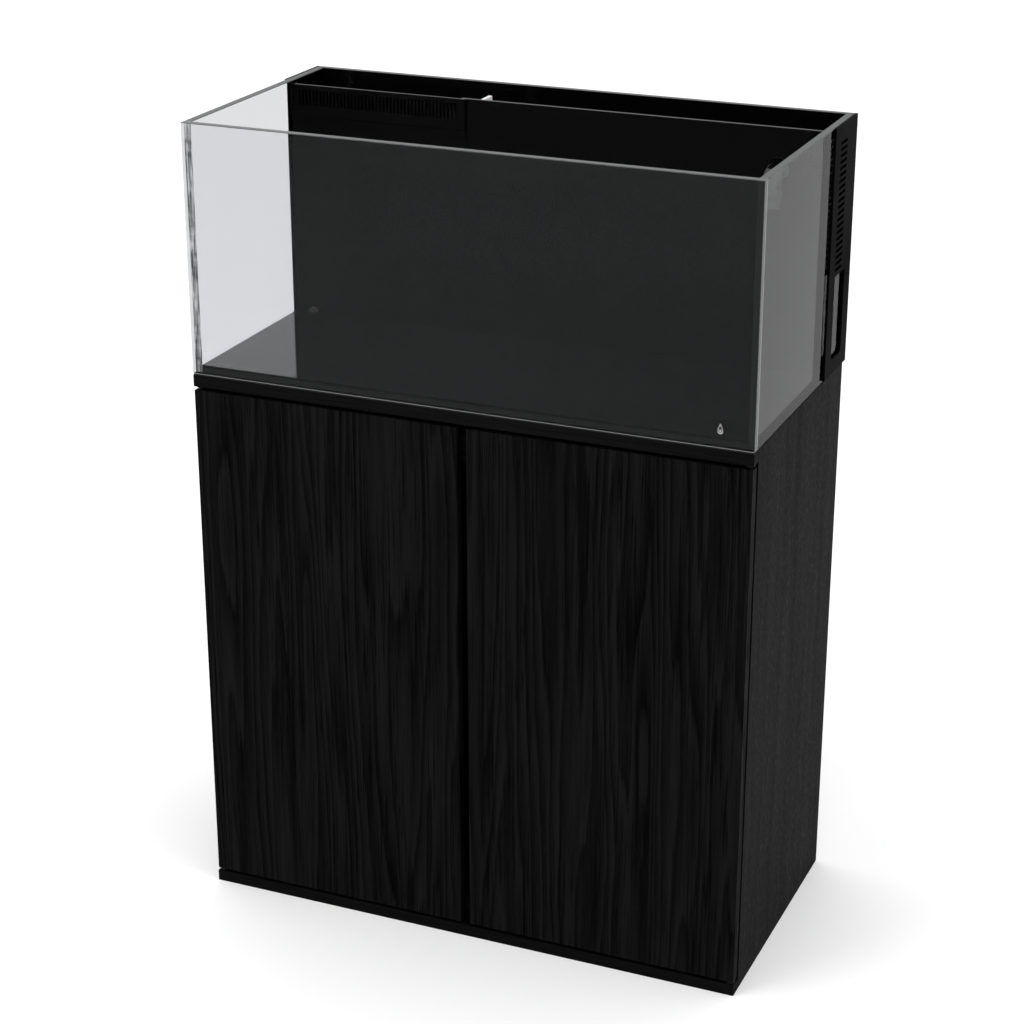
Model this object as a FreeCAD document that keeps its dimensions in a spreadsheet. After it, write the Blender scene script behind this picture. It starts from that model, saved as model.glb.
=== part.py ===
import FreeCAD, Part
import os
import re
import Sketcher

# Rimless aquarium with a rear filter chamber, on a two-door cabinet stand.
# Frame: millimetres, +Z up, the front faces -Y, and the origin is the centre of
# the footprint on the floor.

Vector = FreeCAD.Vector
Rotation = FreeCAD.Rotation

DIMENSIONS = {
    # cabinet
    "stand_width": 914.4, "stand_depth": 457.2, "stand_height": 901.7, "board": 19.0,
    "rail_depth": 22.0, "rail_height": 19.0, "back_thick": 12.0,
    "stretcher_height": 70.0, "sill_height": 40.0, "edge_ease": 0.7,
    # doors and their pivots
    "door_thick": 19.0, "door_bottom": 24.0, "door_top": 877.0, "door_reveal": 1.0, "finger_gap": 16.0,
    "pivot_inset": 8.0, "pin_radius": 3.0, "pin_play": 0.05, "pin_in_door": 18.0,
    "bush_radius": 5.0, "bush_depth": 12.0, "pin_end_play": 1.0,
    "collar_radius": 7.0, "lower_collar": 4.9, "upper_collar": 2.0,
    "catch_x": 30.0, "bumper_x": 62.0, "catch_high": 848.0, "catch_low": 39.0,
    "magnet_radius": 5.0, "magnet_length": 11.4, "magnet_proud": 1.4,
    "strike_radius": 7.5, "strike_thick": 1.2, "bumper_radius": 4.0, "bumper_thick": 2.7,
    # carcass fasteners
    "cam_radius": 7.5, "cam_depth": 12.5, "cam_inset": 30.0, "cam_slack": 0.1,
    "cam_bolt_radius": 3.4, "cam_bolt_bite": 11.0, "cam_row_front": 55.0, "cam_row_back": 60.0,
    # cable and hose outlets in the back
    "outlet_x": 300.0, "outlet_z": 760.0, "outlet_radius": 32.0, "grommet_lip": 4.0, "grommet_wall": 2.5,
    "grommet_lip_thick": 2.0,
    # tank shell
    "mat_thick": 3.0, "mat_inset": 1.0, "tank_top": 1300.0, "glass": 12.0, "floor_thick": 12.0,
    "glass_ease": 0.8,
    # rear chamber
    "partition_y": 105.4, "partition_thick": 6.0, "rim_drop": 4.0, "divider_thick": 6.0,
    "overflow_x": -114.2, "overflow_shelf": 31.0, "overflow_notch": 46.0,
    "baffle_x": 102.8, "baffle_lift": 40.0, "baffle_top": 1240.0,
    "pump_wall_x": 148.8, "pump_wall_top": 1190.0,
    # surface weir
    "comb_left": -443.2, "comb_right": -139.6, "comb_height": 50.0, "comb_thick": 3.7,
    "comb_slot_width": 3.0, "comb_slot_height": 25.0, "comb_slot_drop": 8.0, "comb_slot_pitch": 6.25,
    "comb_slot_first": 12.5, "comb_slot_count": 45.0, "comb_fit": 0.3, "comb_seat": 6.0,
    "guide_wall": 1.7, "guide_lip": 3.0, "guide_lip_thick": 1.5,
    # side covers of the chamber
    "cover_thick": 4.0, "cover_front": 112.0, "cover_lift": 1.0,
    "window_front": 142.6, "window_back": 197.0, "window_low": 930.0, "window_high": 1064.0,
    "window_corner": 8.0,
    "vent_front": 139.7, "vent_back": 176.4, "vent_low": 1072.0, "vent_height": 5.0, "vent_pitch": 9.85,
    "vent_count": 21.0,
    # filter sock
    "shelf_low": 1222.0, "shelf_thick": 6.0, "sock_x": -277.2, "sock_hole": 45.0,
    "ring_radius": 50.0, "ring_thick": 4.0, "ring_barrel": 41.0, "ring_bore": 38.5, "ring_drop": 24.0,
    "sock_radius": 43.4, "sock_wall": 2.3, "sock_bottom": 1080.0,
    # media basket
    "basket_x": -95.2, "basket_y": 117.0, "basket_width": 190.0, "basket_depth": 94.0, "basket_low": 940.0,
    "basket_height": 250.0, "basket_wall": 3.0, "basket_slot": 6.0, "basket_slot_pitch": 12.0,
    "basket_slot_count": 14.0, "basket_slot_low": 20.0, "basket_slot_high": 225.0, "basket_foot": 6.0,
    "foam_gap": 0.8, "foam_top": 1150.0, "foam_round": 6.0,
    # return pump
    "return_x": 374.8, "return_z": 1234.0, "pump_y": 164.0, "pump_z": 966.0,
    "motor_radius": 30.0, "motor_left": 262.0, "motor_right": 352.0, "rib_proud": 1.5, "rib_width": 4.0,
    "rib_first": 12.0, "rib_pitch": 14.0, "volute_radius": 35.0, "volute_right": 394.0,
    "saddle_half": 18.0, "saddle_inset": 10.0, "saddle_sink": 20.0, "spout_root": 20.0,
    "spout_bore_low": 25.0,
    "strainer_radius": 28.0, "strainer_right": 424.0, "strainer_wall": 2.5, "strainer_slot": 4.0,
    "strainer_slot_pitch": 8.0, "strainer_band": 5.0,
    "pump_plate_half": 32.0, "pump_plate_thick": 5.0, "pump_plate_low": 926.7,
    "foot_radius": 11.0, "foot_neck": 5.0, "foot_neck_height": 4.0,
    "spout_radius": 8.4, "spout_bore": 6.0, "spout_top": 1026.0,
    "gland_radius": 8.0, "gland_nut": 9.0, "gland_nose": 16.0, "gland_root_radius": 6.5,
    "gland_tip_radius": 4.0, "gland_bore": 2.6, "gland_bore_depth": 4.0,
    # hose and clamps
    "hose_radius": 11.5, "hose_bore": 8.5, "hose_low": 1006.0, "hose_bend": 30.0, "hose_start_y": 123.0,
    "clamp_radius": 12.5, "clamp_width": 8.0, "clamp_inset": 8.0, "clamp_gap": 2.0,
    "screw_half": 6.0, "screw_root": 9.0, "screw_top": 17.0,
    # bulkhead and swivel outlet
    "bulkhead_radius": 17.0, "bulkhead_flange": 3.5, "gasket_thick": 1.5, "bulkhead_barrel": 12.9,
    "bulkhead_hole": 13.0, "bulkhead_bore": 9.0, "bulkhead_back": 121.4, "bulkhead_stop": 2.0,
    "barb_back": 137.0, "nut_radius": 17.5, "nut_thick": 8.0,
    "swivel_play": 0.05, "swivel_length": 16.0, "swivel_gap": 0.3,
    "swivel_collar": 14.0, "swivel_collar_thick": 4.0,
    "elbow_radius": 11.0, "elbow_bore": 6.5, "elbow_reach": 18.0, "elbow_bend": 16.0, "elbow_neck": 9.0,
    "ball_radius": 11.4, "ball_drop": 30.0, "cup_gap": 0.3, "cup_wall": 2.3, "cup_rim": 3.0,
    "tip_radius": 10.0, "tip_drop": 22.0, "tip_root": 4.0, "tip_root_radius": 12.5,
    # low drain grille on the partition
    "grille_x": -415.2, "grille_radius": 7.5, "grille_depth": 8.0, "grille_slot": 1.8, "grille_pitch": 3.6,
    "grille_band": 1.5,
}

LEFT, RIGHT = -1, 1

# Places that several pieces share, as expressions of the driving dimensions.
HALF = "(stand_width / 2)"
FRONT = "(-stand_depth / 2)"
BACK = "(stand_depth / 2)"
INSIDE = "(stand_width / 2 - board)"
CARCASS_FRONT = "(rail_depth - stand_depth / 2)"
DOOR_BACK = "(door_thick - stand_depth / 2)"
PIVOT_Y = "(door_thick / 2 - stand_depth / 2)"
UPPER_RAIL = "(stand_height - rail_height)"
UNDER_TOP = "(stand_height - board)"
BACK_PANEL_FRONT = "(stand_depth / 2 - back_thick)"
TANK_BASE = "(stand_height + mat_thick)"
TANK_FLOOR = "(stand_height + mat_thick + floor_thick)"
TANK_IN = "(stand_width / 2 - glass)"
BACK_WALL = "(stand_depth / 2 - glass)"
CHAMBER_FRONT = "(partition_y + partition_thick)"
INNER_RIM = "(tank_top - rim_drop)"
SILL = "(tank_top - rim_drop - comb_height)"
FLANGE_FACE = "(partition_y - gasket_thick - bulkhead_flange)"
COMB_FACE = "(partition_y - comb_fit - comb_thick)"
OUTLET_Y = "(partition_y - gasket_thick - bulkhead_flange - elbow_reach - elbow_bend)"
BALL_Z = "(return_z - ball_drop)"

doc = FreeCAD.newDocument("aquarium_on_stand")
sheet = doc.addObject("Spreadsheet::Sheet", "dims")
for row, (alias, number) in enumerate(DIMENSIONS.items(), 1):
    sheet.set(f"A{row}", alias.replace("_", " "))
    sheet.set(f"B{row}", str(number))
    sheet.setAlias(f"B{row}", alias)
doc.recompute()

WORDS = re.compile(r"[a-z][a-z_]*[a-z]")


def bound(text):
    """The expression with every sheet alias in it given the sheet's prefix."""
    return WORDS.sub(lambda found: ("dims." if found.group() in DIMENSIONS else "") + found.group(), text)


def value(text):
    """The expression's present value in millimetres."""
    return float(sheet.evalExpression(bound(text)))


def bind(thing, **sizes):
    for size, text in sizes.items():
        thing.setExpression(size, bound(text))


def place(thing, x, y, z):
    for letter, text in zip("xyz", (x, y, z)):
        thing.setExpression(f"Placement.Base.{letter}", bound(text))


def part(kind, label):
    thing = doc.addObject(kind, label)
    thing.Label = label
    return thing


def span(side, near, far):
    """X limits of something between two distances from the middle, on one side."""
    return (near, far) if side == RIGHT else (f"-({far})", f"-({near})")


def box(label, xs, ys, zs):
    """Block between pairs of limits along X, Y and Z."""
    block = part("Part::Box", label)
    place(block, xs[0], ys[0], zs[0])
    length, width, height = (f"({high}) - ({low})" for low, high in (xs, ys, zs))
    bind(block, Length=length, Width=width, Height=height)
    return block


TURNED = {"x": Rotation(Vector(0, 1, 0), 90), "y": Rotation(Vector(1, 0, 0), -90), "z": Rotation()}


def rod(label, axis, radius, start, end, x="0", y="0", z="0"):
    """Round bar along one axis from start to end; the other two coordinates place its centre line."""
    bar = part("Part::Cylinder", label)
    bar.Placement = FreeCAD.Placement(Vector(), TURNED[axis])
    centre = {"x": x, "y": y, "z": z}
    centre[axis] = start
    place(bar, centre["x"], centre["y"], centre["z"])
    bind(bar, Radius=radius, Height=f"({end}) - ({start})")
    return bar


def ball(label, radius, x, y, z):
    sphere = part("Part::Sphere", label)
    place(sphere, x, y, z)
    bind(sphere, Radius=radius)
    return sphere


def quarter_bend(label, bend, radius, y, z, rises):
    """Quarter of a ring in a plane across X: from straight above or behind its centre."""
    ring = part("Part::Torus", label)
    if rises:
        turned = Rotation(Vector(0, 1, 0), Vector(0, 0, 1), Vector(1, 0, 0), "XYZ")
    else:
        turned = Rotation(Vector(0, 0, 1), Vector(0, -1, 0), Vector(1, 0, 0), "XYZ")
    ring.Placement = FreeCAD.Placement(Vector(), turned)
    place(ring, "return_x", y, z)
    bind(ring, Radius1=bend, Radius2=radius)
    ring.Angle3 = 90
    return ring


def fuse(label, pieces):
    joined = part("Part::MultiFuse", label)
    joined.Shapes = pieces
    joined.Refine = True
    return joined


def group(label, pieces):
    """Separate solids that share one node."""
    joined = part("Part::Compound", label)
    joined.Links = pieces
    return joined


def cut(label, base, tools):
    left = part("Part::Cut", label)
    left.Base = base
    left.Tool = tools[0] if len(tools) == 1 else fuse(f"{label}_tools", tools)
    return left


def eased(label, base, size, chosen):
    """Small chamfer on the edges whose middles are chosen."""
    doc.recompute()
    width = value(size)
    bevelled = part("Part::Chamfer", label)
    bevelled.Base = base
    picks = [i for i, edge in enumerate(base.Shape.Edges, 1) if chosen(edge.CenterOfMass)]
    bevelled.Edges = [(i, width, width) for i in picks]
    return bevelled


def every_edge(middle):
    return True


def new_body(label, x, y, z):
    piece = part("PartDesign::Body", label)
    place(piece, x, y, z)
    return piece


def new_sketch(piece, role, name, offset="0"):
    flat = piece.newObject("Sketcher::SketchObject", name)
    plane = next(feature for feature in piece.Origin.OriginFeatures if feature.Role == role)
    flat.AttachmentSupport = [(plane, "")]
    flat.MapMode = "FlatFace"
    flat.setExpression("AttachmentOffset.Base.z", bound(offset))
    return flat


def distance(flat, kind, index, point, text):
    """Distance from the sketch's origin to a point, bound to an expression."""
    number = flat.addConstraint(Sketcher.Constraint(kind, -1, 1, index, point, value(text)))
    flat.setExpression(f"Constraints[{number}]", bound(text))


def rectangle(flat, left, right, low, high):
    ends = [value(text) for text in (left, right, low, high)]
    corners = [Vector(ends[x], ends[y]) for x, y in ((0, 2), (1, 2), (1, 3), (0, 3))]
    first = flat.GeometryCount
    for i in range(4):
        flat.addGeometry(Part.LineSegment(corners[i], corners[(i + 1) % 4]), False)
    for i in range(4):
        flat.addConstraint(Sketcher.Constraint("Coincident", first + i, 2, first + (i + 1) % 4, 1))
    for i in (0, 2):
        flat.addConstraint(Sketcher.Constraint("Horizontal", first + i))
        flat.addConstraint(Sketcher.Constraint("Vertical", first + i + 1))
    distance(flat, "DistanceX", first, 1, left)
    distance(flat, "DistanceY", first, 1, low)
    distance(flat, "DistanceX", first + 2, 1, right)
    distance(flat, "DistanceY", first + 2, 1, high)


def circle(flat, x, y, radius):
    centre = Vector(value(x), value(y))
    index = flat.addGeometry(Part.Circle(centre, Vector(0, 0, 1), value(radius)), False)
    distance(flat, "DistanceX", index, 3, x)
    distance(flat, "DistanceY", index, 3, y)
    number = flat.addConstraint(Sketcher.Constraint("Radius", index, value(radius)))
    flat.setExpression(f"Constraints[{number}]", bound(radius))


def pad(piece, flat, length, reverse=False):
    solid = piece.newObject("PartDesign::Pad", f"{flat.Name}_pad")
    solid.Profile = flat
    bind(solid, Length=length)
    solid.Reversed = reverse
    flat.Visibility = False
    return solid


def pocket(piece, flat, length, reverse=False):
    """Recess that has to take something away from the body."""
    doc.recompute()
    before = piece.Shape.Volume
    recess = piece.newObject("PartDesign::Pocket", f"{flat.Name}_pocket")
    recess.Profile = flat
    bind(recess, Length=length)
    recess.Reversed = reverse
    doc.recompute()
    assert piece.Shape.Volume < before - 1, f"{flat.Name} cuts nothing"
    return recess


def repeat(piece, feature, flat, axis, pitch, count):
    """Row of copies of one feature along an axis of its sketch."""
    row = piece.newObject("PartDesign::LinearPattern", f"{feature.Name}_row")
    row.Originals = [feature]
    row.Direction = (flat, [axis])
    bind(row, Length=f"({pitch}) * ({count} - 1)", Occurrences=count)
    piece.Tip = row
    return row


# ---------------------------------------------------------------- cabinet carcass

def cam_sites():
    """Each cam: side, name, the board's hidden face and the bolt's height."""
    for side in (LEFT, RIGHT):
        rows = (("front", f"{CARCASS_FRONT} + cam_row_front"), ("back", f"{BACK_PANEL_FRONT} - cam_row_back"))
        for depth, y in rows:
            yield side, f"low_{depth}", y, "board", "board / 2", -1
            yield side, f"high_{depth}", y, UNDER_TOP, "stand_height - board / 2", 1


def cam(side, name, y, face, height, upward, hole=False):
    """Cam disc let into a board and its bolt into the side panel, or the holes that take them."""
    slack = "cam_slack" if hole else "0"
    x = f"{side} * ({INSIDE} - cam_inset)"
    ends = (face, f"{face} + cam_depth + {slack}") if upward > 0 else (f"{face} - cam_depth - {slack}", face)
    disc = rod(f"cam_{name}_{side}", "z", f"cam_radius + {slack}", *ends, x=x, y=y)
    inner = f"{INSIDE} - cam_inset"
    if not hole:
        inner += " + cam_radius + cam_slack"
    reach = span(side, inner, f"{INSIDE} + cam_bolt_bite + {slack}")
    bolt = rod(f"bolt_{name}_{side}", "x", f"cam_bolt_radius + {slack}", *reach, y=y, z=height)
    return disc, bolt


def carcass():
    fasteners = [cam(*site) for site in cam_sites()]
    group("cam_locks", [disc for disc, bolt in fasteners])
    group("cam_bolts", [bolt for disc, bolt in fasteners])

    for side, label in ((LEFT, "side_panel_left"), (RIGHT, "side_panel_right")):
        depth = (CARCASS_FRONT, BACK)
        block = box(f"{label}_board", span(side, INSIDE, HALF), depth, ("0", "stand_height"))
        board = eased(f"{label}_eased", block, "edge_ease", every_edge)
        holes = [cam(*site, hole=True)[1] for site in cam_sites() if site[0] == side]
        cut(label, board, holes)

    across = (f"-{INSIDE}", INSIDE)
    for label, low, high in (("bottom_board", "0", "board"), ("top_board", UNDER_TOP, "stand_height")):
        block = box(f"{label}_blank", across, (CARCASS_FRONT, BACK), (low, high))
        sites = [site for site in cam_sites() if site[1].startswith("low" if low == "0" else "high")]
        cut(label, block, [tool for site in sites for tool in cam(*site, hole=True)])

    upper = ("stand_height - board - stretcher_height", UNDER_TOP)
    front = (CARCASS_FRONT, f"{CARCASS_FRONT} + board")
    low = ("board", "board + sill_height")
    box("rear_stretcher", across, (f"{BACK_PANEL_FRONT} - board", BACK_PANEL_FRONT), upper)
    for label, zs, height in (("upper_stretcher", upper, "catch_high"), ("lower_sill", low, "catch_low")):
        blank = box(f"{label}_blank", across, front, zs)
        holes = [magnet(f"{label}_hole", side, height) for side in (LEFT, RIGHT)]
        cut(label, blank, holes)


def magnet(label, side, height):
    """Round catch magnet, standing a little out of the stretcher's front."""
    start = f"{CARCASS_FRONT} - magnet_proud"
    ends = (start, f"{start} + magnet_length")
    return rod(f"{label}_{side}", "y", "magnet_radius", *ends, x=f"{side} * catch_x", z=height)


def front_rails():
    """Rails that cap the carcass above and below the doors and carry their bushes."""
    for label, low, high, seat in (
        ("bottom_rail", "0", "rail_height", ("rail_height - bush_depth", "rail_height")),
        ("top_rail", UPPER_RAIL, "stand_height", (UPPER_RAIL, f"{UPPER_RAIL} + bush_depth")),
    ):
        blank = box(f"{label}_blank", (f"-{HALF}", HALF), (FRONT, CARCASS_FRONT), (low, high))
        rail = eased(f"{label}_eased", blank, "edge_ease", every_edge)
        axes = [(side, f"{side} * ({HALF} - pivot_inset)") for side in (LEFT, RIGHT)]
        seats = [rod(f"{label}_seat_{side}", "z", "bush_radius", *seat, x=x, y=PIVOT_Y) for side, x in axes]
        cut(label, rail, seats)


def back_panel():
    """Back board with two round outlets, drawn on its rear face and thickened forwards."""
    piece = new_body("back_panel", f"-{INSIDE}", BACK, "board")
    flat = new_sketch(piece, "XZ_Plane", "back_outline")
    rectangle(flat, "0", f"2 * {INSIDE}", "0", "stand_height - 2 * board")
    for side in (LEFT, RIGHT):
        circle(flat, f"{INSIDE} + {side} * outlet_x", "outlet_z - board", "outlet_radius")
    pad(piece, flat, "back_thick")

    rings = []
    for side in (LEFT, RIGHT):
        where = {"x": f"{side} * outlet_x", "z": "outlet_z"}
        start = f"{BACK_PANEL_FRONT} - grommet_lip_thick"
        lip = rod(f"grommet_lip_{side}", "y", "outlet_radius + grommet_lip", start, BACK_PANEL_FRONT, **where)
        sleeve = rod(f"grommet_sleeve_{side}", "y", "outlet_radius", BACK_PANEL_FRONT, BACK, **where)
        whole = fuse(f"grommet_{side}", [lip, sleeve])
        bore = rod(f"grommet_bore_{side}", "y", "outlet_radius - grommet_wall", start, BACK, **where)
        rings.append(cut(f"grommet_ring_{side}", whole, [bore]))
    group("cable_grommets", rings)


# ---------------------------------------------------------------- doors

def door(side, word):
    """Door panel with its two pivot pins and two steel strikes."""
    pivot = f"{side} * ({HALF} - pivot_inset)"
    limits = span(side, "finger_gap / 2", f"{HALF} - door_reveal")
    blank = box(f"door_{word}_blank", limits, (FRONT, DOOR_BACK), ("door_bottom", "door_top"))
    panel = eased(f"door_{word}_eased", blank, "edge_ease", every_edge)
    runs = (
        ("rail_height - bush_depth + pin_end_play", "door_bottom + pin_in_door"),
        ("door_top - pin_in_door", f"{UPPER_RAIL} + bush_depth - pin_end_play"),
    )
    axis = {"x": pivot, "y": PIVOT_Y}
    pins = [rod(f"pin_{word}_{i}", "z", "pin_radius", *run, **axis) for i, run in enumerate(runs)]
    group(f"pivot_pins_{word}", pins)
    cuts = (("door_bottom", runs[0][1]), (runs[1][0], "door_top"))
    holes = [rod(f"pin_hole_{word}_{i}", "z", "pin_radius", *run, **axis) for i, run in enumerate(cuts)]
    cut(f"door_{word}", panel, holes)
    strikes = [
        rod(f"strike_{word}_{height}", "y", "strike_radius", DOOR_BACK, f"{DOOR_BACK} + strike_thick",
            x=f"{side} * catch_x", z=height)
        for height in ("catch_low", "catch_high")
    ]
    group(f"strike_plates_{word}", strikes)


def pivot_bushes():
    """Flanged bushes pressed into the rails; the lower ones carry the doors' weight."""
    bushes = []
    for side in (LEFT, RIGHT):
        x = f"{side} * ({HALF} - pivot_inset)"
        low, high = "rail_height - bush_depth", f"{UPPER_RAIL} + bush_depth"
        for name, sleeve, collar in (
            ("low", (low, "rail_height"), ("rail_height", "rail_height + lower_collar")),
            ("high", (UPPER_RAIL, high), (f"{UPPER_RAIL} - upper_collar", UPPER_RAIL)),
        ):
            tag = f"{name}_{side}"
            outer = rod(f"bush_sleeve_{tag}", "z", "bush_radius", *sleeve, x=x, y=PIVOT_Y)
            flange = rod(f"bush_collar_{tag}", "z", "collar_radius", *collar, x=x, y=PIVOT_Y)
            whole = fuse(f"bush_whole_{tag}", [outer, flange])
            ends = (sleeve[0], collar[1]) if name == "low" else (collar[0], sleeve[1])
            bore = rod(f"bush_bore_{tag}", "z", "pin_radius + pin_play", *ends, x=x, y=PIVOT_Y)
            bushes.append(cut(f"bush_{tag}", whole, [bore]))
    group("pivot_bushes", bushes)


def catches():
    heights = ("catch_low", "catch_high")
    sites = [(side, height) for side in (LEFT, RIGHT) for height in heights]
    group("catch_magnets", [magnet(f"magnet_{height}", side, height) for side, height in sites])
    ends = (f"{CARCASS_FRONT} - bumper_thick", CARCASS_FRONT)
    bumpers = [
        rod(f"bumper_{height}_{side}", "y", "bumper_radius", *ends, x=f"{side} * bumper_x", z=height)
        for side, height in sites
    ]
    group("door_bumpers", bumpers)


# ---------------------------------------------------------------- tank

def tank_shell():
    whole = (f"-{HALF}", HALF)
    inside = (f"{FRONT} + glass", BACK_WALL)
    tall = (TANK_BASE, "tank_top")
    box("levelling_mat", (f"-{HALF} + mat_inset", f"{HALF} - mat_inset"),
        (f"{FRONT} + mat_inset", f"{BACK} - mat_inset"), ("stand_height", TANK_BASE))
    box("tank_floor", (f"-{TANK_IN}", TANK_IN), inside, (TANK_BASE, TANK_FLOOR))

    rim, front, edge = value("tank_top"), value(FRONT), value(HALF)
    front_blank = box("front_pane_blank", whole, (FRONT, f"{FRONT} + glass"), tall)
    eased("front_pane", front_blank, "glass_ease", lambda middle: middle.y < front + 1 or middle.z > rim - 1)
    back_blank = box("back_wall_blank", whole, (BACK_WALL, BACK), tall)
    eased("back_wall", back_blank, "glass_ease", lambda middle: middle.z > rim - 1)
    near, far = value(inside[0]) + 1, value(inside[1]) - 1
    for side, label in ((LEFT, "left_pane"), (RIGHT, "right_pane")):
        blank = box(f"{label}_blank", span(side, TANK_IN, HALF), inside, tall)
        eased(label, blank, "glass_ease", lambda middle: middle.z > rim - 1 and near < middle.y < far)


def partition():
    """Black wall in front of the filter chamber, notched behind the weir and bored for the return."""
    ys = ("partition_y", CHAMBER_FRONT)
    blank = box("partition_blank", (f"-{TANK_IN}", TANK_IN), ys, (TANK_FLOOR, INNER_RIM))
    notch = box("partition_notch", ("comb_left + comb_seat", "comb_right - comb_seat"), ys,
                (f"{SILL} + comb_seat", INNER_RIM))
    bore = rod("partition_bore", "y", "bulkhead_hole", *ys, x="return_x", z="return_z")
    cut("partition", blank, [notch, bore])


def dividers():
    depth = (CHAMBER_FRONT, BACK_WALL)
    wall = ("overflow_x", "overflow_x + divider_thick")
    blank = box("overflow_blank", wall, depth, (TANK_FLOOR, INNER_RIM))
    notch = box("overflow_cut", wall, (f"{CHAMBER_FRONT} + overflow_shelf", BACK_WALL),
                (f"{INNER_RIM} - overflow_notch", INNER_RIM))
    cut("overflow_divider", blank, [notch])
    for label, x, low, high in (
        ("baffle", "baffle_x", f"{TANK_FLOOR} + baffle_lift", "baffle_top"),
        ("pump_divider", "pump_wall_x", TANK_FLOOR, "pump_wall_top"),
    ):
        box(label, (x, f"{x} + divider_thick"), depth, (low, high))


def weir():
    """Slotted weir plate and the guides it slides in."""
    piece = new_body("weir_comb", "comb_left", f"{COMB_FACE} + comb_thick", SILL)
    outline = new_sketch(piece, "XZ_Plane", "comb_outline")
    rectangle(outline, "0", "comb_right - comb_left", "0", "comb_height")
    pad(piece, outline, "comb_thick")
    slot = new_sketch(piece, "XZ_Plane", "comb_slot")
    top = "comb_height - comb_slot_drop"
    rectangle(slot, "comb_slot_first", "comb_slot_first + comb_slot_width", f"{top} - comb_slot_height", top)
    first = pocket(piece, slot, "comb_thick", reverse=True)
    repeat(piece, first, slot, "H_Axis", "comb_slot_pitch", "comb_slot_count")

    lip = (f"{COMB_FACE} - comb_fit - guide_lip_thick", f"{COMB_FACE} - comb_fit")
    deep = (lip[0], "partition_y")
    low = f"{SILL} - comb_fit - guide_wall"
    upright = (low, INNER_RIM)
    outer, inner = "comb_left - comb_fit", "comb_right + comb_fit"
    strips = [
        fuse("guide_left", [box("guide_left_web", (f"{outer} - guide_wall", outer), deep, upright),
                            box("guide_left_lip", (outer, f"{outer} + guide_lip"), lip, upright)]),
        fuse("guide_right", [box("guide_right_web", (inner, f"{inner} + guide_wall"), deep, upright),
                             box("guide_right_lip", (f"{inner} - guide_lip", inner), lip, upright)]),
        box("guide_sill", (outer, inner), deep, (low, f"{SILL} - comb_fit")),
    ]
    group("comb_guides", strips)


def side_covers():
    """Black covers outside the chamber's side panes; the right one has a level slot and vents cut through."""
    height = (f"{TANK_BASE} + cover_lift", "tank_top")
    rim = value("tank_top")
    limits = span(LEFT, HALF, f"{HALF} + cover_thick")
    outside = value(limits[0]) + 1
    plain = box("side_cover_left_blank", limits, ("cover_front", BACK), height)
    eased("side_cover_left", plain, "edge_ease", lambda middle: middle.x < outside or middle.z > rim - 1)

    piece = new_body("side_cover_right", HALF, "cover_front", height[0])
    outline = new_sketch(piece, "YZ_Plane", "cover_outline")
    rectangle(outline, "0", f"{BACK} - cover_front", "0", f"tank_top - {TANK_BASE} - cover_lift")
    pad(piece, outline, "cover_thick")
    low = f"({TANK_BASE} + cover_lift)"
    hole = new_sketch(piece, "YZ_Plane", "cover_window")
    rectangle(hole, "window_front - cover_front", "window_back - cover_front",
              f"window_low - {low}", f"window_high - {low}")
    opening = pocket(piece, hole, "cover_thick", reverse=True)
    middle_x, low_z = value(f"{HALF} + cover_thick / 2"), value("window_low")
    corners = [
        f"Edge{i}" for i, edge in enumerate(piece.Shape.Edges, 1)
        if abs(edge.CenterOfMass.x - middle_x) < 0.1 and abs(edge.CenterOfMass.z - low_z) < 0.1
    ]
    rounding = piece.newObject("PartDesign::Fillet", "window_corners")
    rounding.Base = (opening, corners)
    bind(rounding, Radius="window_corner")
    slot = new_sketch(piece, "YZ_Plane", "cover_vent")
    rectangle(slot, "vent_front - cover_front", "vent_back - cover_front", f"vent_low - {low}",
              f"vent_low - {low} + vent_height")
    vent = pocket(piece, slot, "cover_thick", reverse=True)
    repeat(piece, vent, slot, "V_Axis", "vent_pitch", "vent_count")


# ---------------------------------------------------------------- filtration

def filter_sock():
    """Shelf over the first chamber, and the ring and felt sock that lift out of it."""
    middle = f"({CHAMBER_FRONT} + {BACK_WALL}) / 2"
    where = {"x": "sock_x", "y": middle}
    shelf = new_body("sock_shelf", f"-{TANK_IN}", CHAMBER_FRONT, "shelf_low")
    outline = new_sketch(shelf, "XY_Plane", "shelf_outline")
    rectangle(outline, "0", f"overflow_x + {TANK_IN}", "0", f"{BACK_WALL} - {CHAMBER_FRONT}")
    circle(outline, f"sock_x + {TANK_IN}", f"({BACK_WALL} - {CHAMBER_FRONT}) / 2", "sock_hole")
    pad(shelf, outline, "shelf_thick")

    seat = "shelf_low + shelf_thick"
    flange = rod("ring_flange", "z", "ring_radius", seat, f"{seat} + ring_thick", **where)
    barrel = rod("ring_barrel_rod", "z", "ring_barrel", f"{seat} - ring_drop", seat, **where)
    bore = rod("ring_bore_rod", "z", "ring_bore", f"{seat} - ring_drop", f"{seat} + ring_thick", **where)
    cut("sock_ring", fuse("ring_whole", [flange, barrel]), [bore])

    top = f"{seat} - 1"
    outer = [rod("sock_outer", "z", "sock_radius", "sock_bottom", top, **where),
             ball("sock_outer_end", "sock_radius", "sock_x", middle, "sock_bottom")]
    inner = [rod("sock_inner", "z", "sock_radius - sock_wall", "sock_bottom", top, **where),
             ball("sock_inner_end", "sock_radius - sock_wall", "sock_x", middle, "sock_bottom")]
    cut("filter_sock", fuse("sock_outer_whole", outer), [fuse("sock_inner_whole", inner)])


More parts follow.
